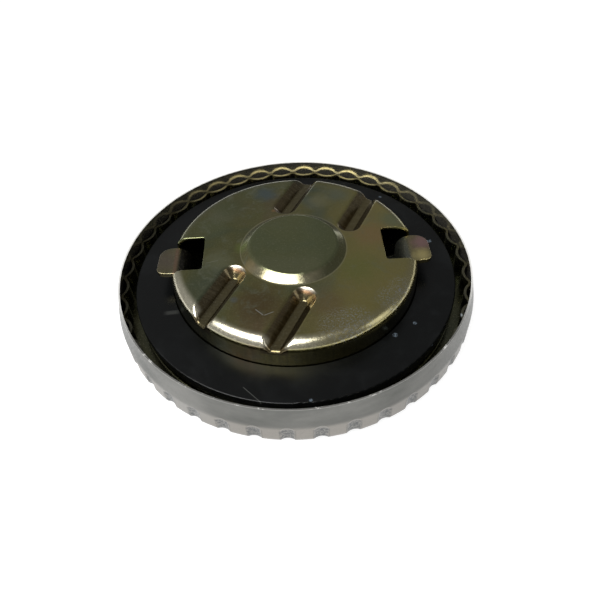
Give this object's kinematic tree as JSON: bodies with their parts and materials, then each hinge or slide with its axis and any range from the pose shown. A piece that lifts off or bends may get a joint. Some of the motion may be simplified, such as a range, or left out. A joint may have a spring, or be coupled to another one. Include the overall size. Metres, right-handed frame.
{
  "type": "fuel filler cap",
  "caption": "Round sheet-metal bayonet cap for a fuel filler neck: fluted outer cover, black seal, raised inner cup and a sprung locking bar with two tabs.",
  "frame": {"origin": "centre of the outer face that the cap lies on", "axes": "+Z along the cap's axis towards the neck side, +X through one bayonet tab"},
  "size_m": [0.1026, 0.1026, 0.0219],
  "materials": {
    "shell_steel": "satin grey plating with fine speckles, lightly soiled",
    "plated_steel": "yellow passivated zinc plating, semi-gloss",
    "seal_rubber": "black nitrile rubber, smooth and slightly dusty",
    "spring_steel": "bare drawn spring wire"
  },
  "bodies": {
    "cap": {"outer_shell": "shell_steel", "pan": "plated_steel", "gasket": "seal_rubber", "inner_cup": "plated_steel", "bar_spring": "spring_steel"},
    "bar": {"locking_bar": "plated_steel"}
  },
  "joints": [
    {"name": "bar_lift", "type": "slide", "parent": "cap", "child": "bar", "axis": [0, 0, 1], "range_m": [0, 0.0025], "stiffness_N_per_m": 2500, "springref_m": -0.006, "deforming": ["bar_spring"]}
  ]
}
